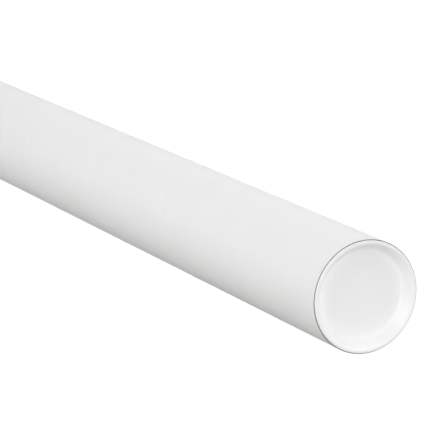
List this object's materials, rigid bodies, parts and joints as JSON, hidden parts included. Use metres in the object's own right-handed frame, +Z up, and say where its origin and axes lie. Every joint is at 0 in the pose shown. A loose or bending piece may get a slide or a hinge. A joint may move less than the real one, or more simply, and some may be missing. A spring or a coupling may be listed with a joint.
{
  "type": "cardboard mailing tube",
  "caption": "White cardboard mailing tube, closed by a push-in plastic plug cap in each end, for posting rolled papers.",
  "frame": {"origin": "centre of the ring that the tube stands on, the outer face of the bottom cap's flange", "axes": "+Z up along the tube's axis, from the bottom cap to the top cap; X and Y are free, because every piece is round"},
  "size_m": [0.0797, 0.0798, 0.764],
  "materials": {
    "board": "matte",
    "cap_plastic": "satin"
  },
  "bodies": {
    "bottom_cap": {"bottom_cap": "cap_plastic"},
    "tube": {"tube": "board"},
    "top_cap": {"top_cap": "cap_plastic"}
  },
  "joints": [
    {"name": "tube_pull", "type": "slide", "parent": "bottom_cap", "child": "tube", "axis": [0, 0, 1], "range_m": [0, 0.06]},
    {"name": "top_cap_pull", "type": "slide", "parent": "tube", "child": "top_cap", "axis": [0, 0, 1], "range_m": [0, 0.06]}
  ]
}
